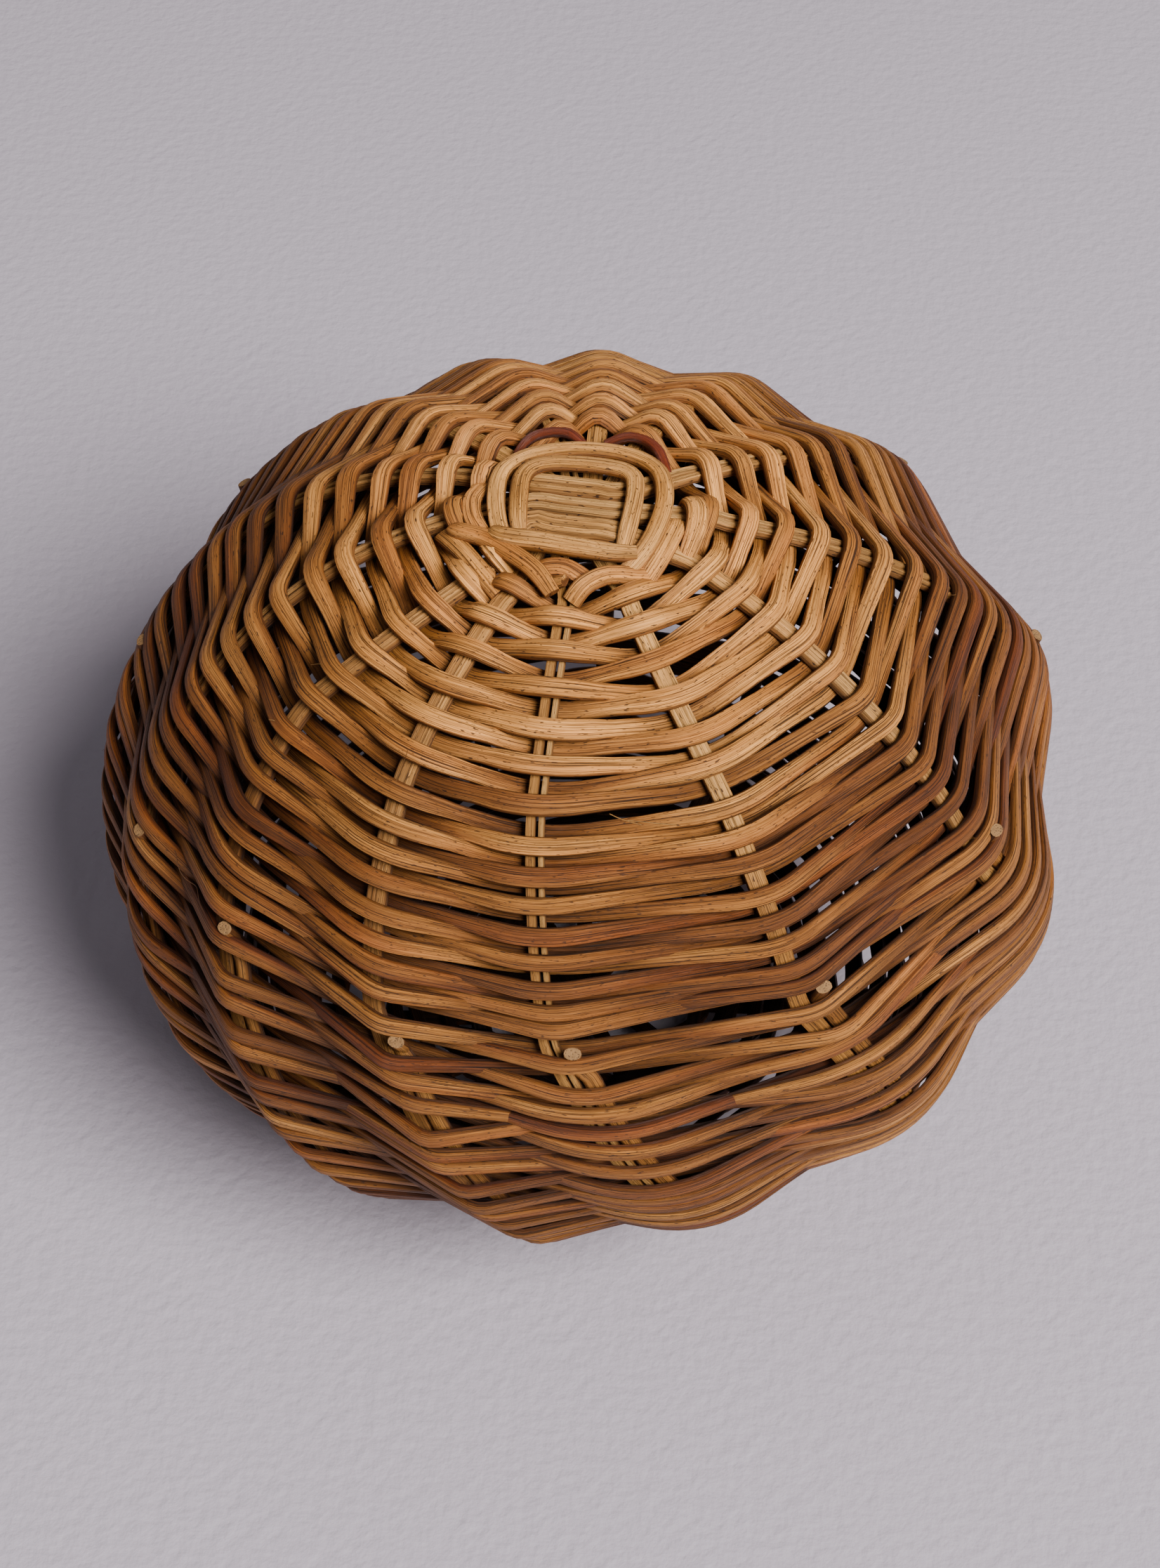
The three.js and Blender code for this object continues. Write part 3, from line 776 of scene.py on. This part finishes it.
def arm_place(point, normal, layer, from_block, arc):
    """A place of an arm, lifted or sunk by its layer near the block, and sunk where arms lie in pairs."""
    lift = layer * BLOCK_LIFT * (1 - ease(from_block, 20, 30)) - PAIR_SINK * pair_share(arc)
    return point + normal * lift, normal, 1.0


def upper_arm(stake, layer):
    """Places down one stake from the block, as (point, normal, scale)."""
    places = []
    for arc in range(ARM_START, ARM_END, ARM_STEP):
        point, normal, _ = surface_at(arc * MM, upper_angle(stake, arc * MM))
        places.append(arm_place(point, normal, layer, arc, arc * MM))
    return places


def tip_arc(stake):
    """Where the cut end of a lower rod comes out: over a row that passes inside there."""
    arcs = [row_arc(turn_of(c)) for c in range(stake, crossing_count, STAKES) if c % 2 == 1]
    return min(arcs, key=lambda arc: abs(arc - TIP_ARCS[stake] * MM))


def lower_arm(stake, layer):
    """Places up one rod from the bottom block to its cut end."""
    places = []
    tip = tip_arc(stake)
    for from_bottom in range(ARM_START, int((ARC_TOTAL - tip) / MM) - 3, ARM_STEP):
        arc = ARC_TOTAL - from_bottom * MM
        point, normal, _ = surface_at(arc, lower_angle(stake, arc))
        places.append(arm_place(point, normal, layer, from_bottom, arc))
    angle = lower_angle(stake, tip)
    for down, rise, scale in TIP_PLACES:
        point, normal, _ = surface_at(tip + down * MM, angle)
        places.append((point + normal * rise * MM, normal, scale))
    return places


# %% Routes through the blocks
def block_places(offset, along_x, top, reaches, widen):
    """Straight and level places inside a block."""
    turn = math.radians(BLOCK_TURN if top else BOTTOM_BLOCK_TURN)
    if top:
        level = TOP_POLE + (TOP_LAYER_LIFT if along_x else -TOP_LAYER_LIFT)
    else:
        level = ROD_THICKNESS / 2 + FLOOR_GAP + (0 if along_x else ROD_THICKNESS)
    places = []
    for reach in reaches:
        x, y = (reach, offset) if along_x else (offset, reach)
        turned = Vector((x * math.cos(turn) - y * math.sin(turn), x * math.sin(turn) + y * math.cos(turn), 0))
        point = turned * MM + (axis_place + (BLOCK_PLACE if top else Vector((0, 0, 0))))
        point.z = level
        places.append((point, Vector((0, 0, 1 if top else -1)), widen))
    return places


def smooth_route(places, sideways=0.0, step=2.5 * MM):
    """A soft line through the places, moved sideways on the surface."""
    places = [p for i, p in enumerate(places) if i == 0 or (p[0] - places[i - 1][0]).length > 0.4 * MM]
    route = []
    for i in range(len(places) - 1):
        a, b = places[max(0, i - 1)], places[i]
        c, d = places[i + 1], places[min(len(places) - 1, i + 2)]
        count = max(2, round((c[0] - b[0]).length / step))
        for k in range(count if i < len(places) - 2 else count + 1):
            t = k / count
            point = 0.5 * (2 * b[0] + (c[0] - a[0]) * t + (2 * a[0] - 5 * b[0] + 4 * c[0] - d[0]) * t * t
                           + (3 * b[0] - a[0] - 3 * c[0] + d[0]) * t ** 3)
            route.append((point, b[1].lerp(c[1], t).normalized(), b[2] + (c[2] - b[2]) * t))
    if sideways:
        moved = []
        for i, (point, normal, scale) in enumerate(route):
            tangent = route[min(len(route) - 1, i + 1)][0] - route[max(0, i - 1)][0]
            across = normal.cross(tangent).normalized()
            moved.append((point + across * sideways * scale, normal, scale))
        route = moved
    return route


# %% [markdown]
# A stake's lower end lies out of sight behind the weave. A rod's upper end is cut across, and it
# pokes out between two rows, so it gets the cut-end finish.

# %% Lay the stakes and the rods
STAKE_WIDTH = 3.8 * MM
STAKE_THICKNESS = 1.9 * MM
BLOCK_WIDEN = 1.28
ROD_WIDTH = 3.5 * MM
BLOCK_REACHES = [-8, -4, 0, 4, 8]


def full_route(ends, offset, along_x, top):
    """From one end through the block to the other. With no first end it starts inside the block."""
    arm = upper_arm if top else lower_arm
    layer = 1 if along_x else -1
    before = [] if ends[0] is None else arm(ends[0], layer)[::-1]
    reaches = BLOCK_REACHES[1:] if ends[0] is None else BLOCK_REACHES
    middle = block_places(offset, along_x, top, reaches, BLOCK_WIDEN if along_x and top else 1.0)
    return before + middle + arm(ends[1], layer)


SPLIT_GAP = 0.55 * MM
SPLITS = {"stake_across_2": (0.4, 0.6), "stake_along_2": (0.5, 0.5), "stake_along_3": (0.5, 0.5)}
for top in (True, False):
    for along_x, rows in ((True, ALONG_ROWS), (False, ACROSS_ROWS)):
        for number, (ends, offset) in enumerate(rows, start=1):
            node = ("stake_" if top else "rod_") + ("along_" if along_x else "across_") + str(number)
            places = full_route(ends, offset, along_x, top)
            if not top:
                bar = lay_cane("cane_" + node, smooth_route(places), ROD_WIDTH, ROD_THICKNESS,
                               flat=0.2, sides=12, upright=False, seed=number + 40.0)
                finish_cane(bar, "rod_cane", [node], rod_finish, cut_end_finish)
                continue
            shares = SPLITS.get(node, (1.0,))
            bars = []
            used = 0.0
            for share in shares:
                sideways = (used + share / 2 - 0.5) * STAKE_WIDTH
                used += share
                width = share * STAKE_WIDTH - (SPLIT_GAP if len(shares) > 1 else 0.0)
                bars.append(lay_cane(node + "_split", smooth_route(places, sideways), width, STAKE_THICKNESS,
                                     flat=0.85, sides=16, upright=False,
                                     seed=number + used + (20.0 if along_x else 30.0)))
            bar = join_canes("cane_" + node, bars)
            finish_cane(bar, "stake_cane", [node], stake_finish)

# %% [markdown]
# ## Binding and short ends at the top
# Two rounds of smooth cane bind the cross, and one thick end lies along its front. Around them the
# first strands start: short ends that run from stake to stake before the regular weave begins. Each
# is given by a few places in the plan, in millimetres from the ball's axis, and by its height above
# the middle surface.

# %% Strands on the dome
def dome_place(x, y, lift, scale=1.0):
    """The place above plan position x, y, with the surface's normal."""
    angle = math.asin(min(1.0, math.hypot(x, y) * MM / RADIUS))
    arc = float(np.interp(angle, profile_angles, arc_table))
    point, normal, _ = surface_at(arc, math.degrees(math.atan2(-x, -y)))
    return point + normal * lift * MM, normal, scale


def pole_strand(name, places, width, thickness, seed):
    """A strand through places on the dome, its width and thickness in millimetres."""
    route = smooth_route([dome_place(*place) for place in places], step=1.2 * MM)
    return lay_cane(name, route, width * MM, thickness * MM, flat=0.5, sides=14, seed=seed, length=1.0 * MM)


# %% Lay the binding
INNER_WRAP = [
    (-11.9, -7.4, 2.3, 0.8), (-12.1, -5.0, 3.1), (-12.0, 0.5, 3.4), (-11.4, 5.2, 3.4), (-9.6, 7.6, 3.4),
    (-6.2, 8.5, 3.4), (0.0, 8.0, 3.4), (6.0, 6.9, 3.4), (8.3, 5.2, 3.4), (8.9, 2.4, 3.4), (8.4, -3.0, 3.4),
    (7.4, -8.4, 3.2), (6.6, -12.0, 2.2, 0.85),
]
OUTER_WRAP = [
    (-14.6, -8.4, 1.6, 0.7), (-15.5, -6.6, 2.2), (-16.1, -1.3, 3.2), (-15.8, 5.0, 3.2), (-14.4, 8.6, 3.1),
    (-11.0, 11.5, 2.9), (-6.0, 12.8, 3.0), (0.0, 12.9, 3.1), (6.5, 11.8, 3.2), (11.0, 9.6, 3.2),
    (13.5, 6.0, 3.3), (14.1, 0.5, 3.3), (13.3, -5.0, 3.3), (11.2, -11.0, 3.1), (8.2, -15.8, 2.2),
    (5.6, -17.8, 1.2, 0.7),
]
FRONT_END = [
    (-17.0, -6.8, 2.0, 0.55), (-16.4, -7.8, 3.0, 0.85), (-15.1, -9.3, 3.5, 1.0), (-11.8, -10.6, 3.6, 1.1),
    (-7.7, -11.6, 3.6, 1.12), (-1.6, -13.1, 3.6, 1.08), (4.4, -14.1, 3.5, 1.0), (7.9, -13.9, 3.2, 0.9),
]
inner_wrap = pole_strand("inner", INNER_WRAP, 3.5, 2.2, 61.0)
front_end = pole_strand("front", FRONT_END, 3.6, 2.6, 62.0)
inner_wrap = join_canes("cane_pole_wrap_inner", [inner_wrap, front_end])
finish_cane(inner_wrap, "wrap_cane", ["pole_wrap_inner"], wrap_finish)
outer_wrap = pole_strand("cane_pole_wrap_outer", OUTER_WRAP, 3.5, 2.2, 63.0)
finish_cane(outer_wrap, "wrap_cane", ["pole_wrap_outer"], wrap_finish)

# %% Lay the short ends
SHORT_ENDS = [
    [(-24.0, -5.0, 2.2, 0.8), (-22.4, -6.8, 3.0), (-17.9, -9.2, 3.0), (-11.7, -14.7, 3.2), (-8.5, -18.0, 3.0),
     (-6.0, -21.8, 2.2, 0.8)],
    [(-26.0, -5.0, 0.6), (-24.6, -7.2, 1.6), (-21.6, -11.6, 2.2), (-18.2, -16.8, 1.8), (-15.7, -20.0, 0.6)],
    [(-18.2, 6.4, 0.8), (-19.4, 4.0, 2.0), (-20.7, 0.8, 2.4), (-20.2, -4.0, 2.2), (-17.8, -8.0, 0.8)],
    [(-9.4, -16.0, 0.6), (-7.0, -16.3, 2.2), (-3.6, -16.6, 2.4), (0.2, -18.4, 0.8)],
    [(-2.6, -22.8, 0.8), (-1.0, -21.2, 2.4), (1.2, -19.6, 2.8), (4.4, -18.4, 2.8), (9.7, -17.6, 1.6),
     (11.2, -17.0, 0.8)],
    [(16.6, -4.0, 0.8), (16.0, -6.6, 2.0), (13.6, -12.9, 2.4), (10.7, -18.0, 1.0)],
]
LOOP_END = [
    (18.4, 2.0, -0.4, 0.8), (19.0, 0.9, 2.2), (19.9, -2.3, 3.4, 1.1), (19.6, -6.6, 2.6),
    (18.1, -11.6, 0.4, 0.8),
]
ends = [pole_strand("end", places, 3.7, 2.2, 70.0 + i) for i, places in enumerate(SHORT_ENDS)]
ends.append(pole_strand("end_loop", LOOP_END, 4.0, 2.2, 80.0))
finish_cane(join_canes("pole_short_ends", ends), "weaver_cane", [], weaver_finish)

# Two ends with the reddish skin still on them lie behind the binding.
SKIN_ENDS = [
    [(-12.9, 14.6, 1.4, 0.7), (-10.2, 17.6, 2.7), (-6.4, 19.0, 2.9), (-3.0, 18.6, 2.7),
     (-0.4, 16.9, 1.4, 0.8)],
    [(3.6, 17.0, 1.4, 0.8), (7.6, 17.8, 2.7), (11.0, 16.6, 2.9), (13.4, 13.6, 2.7), (15.0, 9.6, 1.2, 0.8)],
]
skins = [pole_strand("skin", places, 2.2, 1.6, 90.0 + i) for i, places in enumerate(SKIN_ENDS)]
finish_cane(join_canes("pole_skin_ends", skins), "weaver_cane", [], red_finish)

# %% [markdown]
# ## Loose fibres
# Cane that is bent dry sheds fine fibres. They stand off the strands as short hairs, most of them
# where a strand bends over a stake. Each is a very thin strand laid by the same helper, starting on
# the outer face of a weaver and curling away from it.

# %% Scatter the loose fibres
HAIR_COUNT = 56
HAIR_STEPS = 5
HAIR_THICKNESS = 0.13 * MM


def hair_route(crossing, length, lift, swing):
    """A short curl from the outer face of the strand at a crossing."""
    point, normal = weave_point(crossing)
    onward = (weave_point(crossing + 1)[0] - point).normalized()
    across = normal.cross(onward).normalized()
    start = point + normal * (WEAVER_THICKNESS * 0.42) + across * swing * 0.8 * MM
    route = []
    for step in range(HAIR_STEPS + 1):
        share = step / HAIR_STEPS
        forward = length * share * (1 - 0.3 * share)
        place = start + onward * forward + across * swing * length * share ** 2
        place += normal * lift * share ** 1.5
        route.append((place, normal, 1.0 - 0.6 * share))
    return route


hair_chance = random.Random(29)
outer_crossings = list(range(2 * STAKES, crossing_count - 200, 2))
hairs = []
for number in range(HAIR_COUNT):
    crossing = hair_chance.choice(outer_crossings)
    length = hair_chance.uniform(2.0, 6.5) * MM
    route = hair_route(crossing, length, hair_chance.uniform(-0.2, 1.2) * MM, hair_chance.uniform(-0.7, 0.7))
    width = hair_chance.choice((0.14, 0.18, 0.3)) * MM
    hairs.append(lay_cane("hair", route, width, HAIR_THICKNESS, flat=0.1, sides=5,
                          seed=number + 100.0, length=0.7 * MM))

# %% Add the larger fibres
# A curly fibre and a thin one bent round a strand on the left, two lifted splinters in front, and a
# torn strip on the left front stake: from, to, swing in millimetres and turns.
CURL_STEPS = 16
CURLS = [
    ((-74.9, -46.1, 111.0), (-67.8, -57.9, 109.2), 0.9, 1.6),
    ((-58.6, -59.7, 117.6), (-57.4, -61.9, 117.2), 0.5, 0.5),
    ((17.0, -62.6, 138.0), (8.6, -62.4, 139.2), 0.1, 0.4),
    ((11.0, -62.9, 138.4), (5.6, -61.8, 140.2), 0.25, 0.5),
    ((-30.0, -49.0, 142.6), (-31.6, -55.0, 141.4), 0.3, 0.5),
]
for number, (first, last, swing, turns) in enumerate(CURLS):
    first, last = Vector(first) * MM, Vector(last) * MM
    out = Vector((first.x, first.y, 0)).normalized()
    across = out.cross(last - first).normalized()
    route = []
    for step in range(CURL_STEPS + 1):
        share = step / CURL_STEPS
        angle = share * turns * 2 * math.pi
        wave = across * math.sin(angle) + out * (1 - math.cos(angle)) * 0.6
        route.append((first.lerp(last, share) + wave * swing * MM, out, 1.0 - 0.4 * share))
    hairs.append(lay_cane("hair", route, 0.28 * MM, 0.16 * MM, flat=0.1, sides=5,
                          seed=number + 200.0, length=0.5 * MM))
finish_cane(join_canes("loose_fibres", hairs), "weaver_cane", [], stake_finish)

# %% [markdown]
# ## Floor, light and camera
# The ball stands on a pale surface with a faint grain. One large soft lamp stands to the front
# right, and a weak pale sky fills the shadows.

# %% Floor
FLOOR_SIZE = 6.0
FLOOR_COLOUR = (0.468, 0.415, 0.474, 1)
clear_selection()
bpy.ops.mesh.primitive_plane_add(size=FLOOR_SIZE, location=(0, 0, 0))
floor = bpy.context.object
floor.name = "floor"
floor_finish = bpy.data.materials.new("pale_floor")
floor_finish.use_nodes = True
floor_tree = floor_finish.node_tree
floor_shader = floor_tree.nodes["Principled BSDF"]
floor_shader.inputs["Base Color"].default_value = FLOOR_COLOUR
floor_shader.inputs["Roughness"].default_value = 0.85
floor_place = add_node(floor_tree, "ShaderNodeTexCoord", (-800, 0)).outputs["Object"]
grain = noise(floor_tree, (-600, 0), floor_place, scale=330, detail=5, roughness=0.5)
grain_bump = add_node(floor_tree, "ShaderNodeBump", (-300, -200))
grain_bump.inputs["Strength"].default_value = 0.6
grain_bump.inputs["Distance"].default_value = 0.9 * MM
floor_tree.links.new(grain, grain_bump.inputs["Height"])
floor_tree.links.new(grain_bump.outputs[0], floor_shader.inputs["Normal"])
floor.data.materials.append(floor_finish)
print("staged", floor.name)

# %% Light
LIGHT_TARGET = Vector((0, 0, 0.07))
KEY_PLACE = (1.47, -1.63, 2.33)
KEY_SIZE = 1.7
KEY_POWER = 204
KEY_COLOUR = (1.0, 0.985, 0.965)
ROOM_COLOUR = (0.94, 0.94, 1.0, 1)
ROOM_STRENGTH = 0.205


def soft_light(name, place, size, power, colour):
    """A round area lamp aimed at the ball."""
    data = bpy.data.lights.new(name, "AREA")
    data.shape = "DISK"
    data.size = size
    data.energy = power
    data.color = colour
    lamp = bpy.data.objects.new(name, data)
    lamp.location = place
    lamp.rotation_euler = (LIGHT_TARGET - Vector(place)).to_track_quat("-Z", "Y").to_euler()
    bpy.context.collection.objects.link(lamp)


soft_light("key", KEY_PLACE, KEY_SIZE, KEY_POWER, KEY_COLOUR)
world = bpy.data.worlds.new("room")
world.use_nodes = True
world.node_tree.nodes["Background"].inputs["Color"].default_value = ROOM_COLOUR
world.node_tree.nodes["Background"].inputs["Strength"].default_value = ROOM_STRENGTH
bpy.context.scene.world = world

# %% Camera
CAMERA_LENS = 86
elevation = math.radians(49)
distance = 6.0 * RADIUS
target = Vector((-1.1 * MM, 0, CENTRE_HEIGHT + 0.6 * MM)) + axis_place
camera_data = bpy.data.cameras.new("camera")
camera = bpy.data.objects.new("camera", camera_data)
bpy.context.collection.objects.link(camera)
camera.location = target + Vector((0, -math.cos(elevation), math.sin(elevation))) * distance
camera.rotation_euler = (math.pi / 2 - elevation, 0, 0)
camera_data.sensor_fit = "HORIZONTAL"
camera_data.sensor_width = 36
camera_data.lens = CAMERA_LENS
camera_data.clip_start = 0.01
bpy.context.scene.camera = camera
print("camera at, mm", [round(value / MM) for value in camera.location])
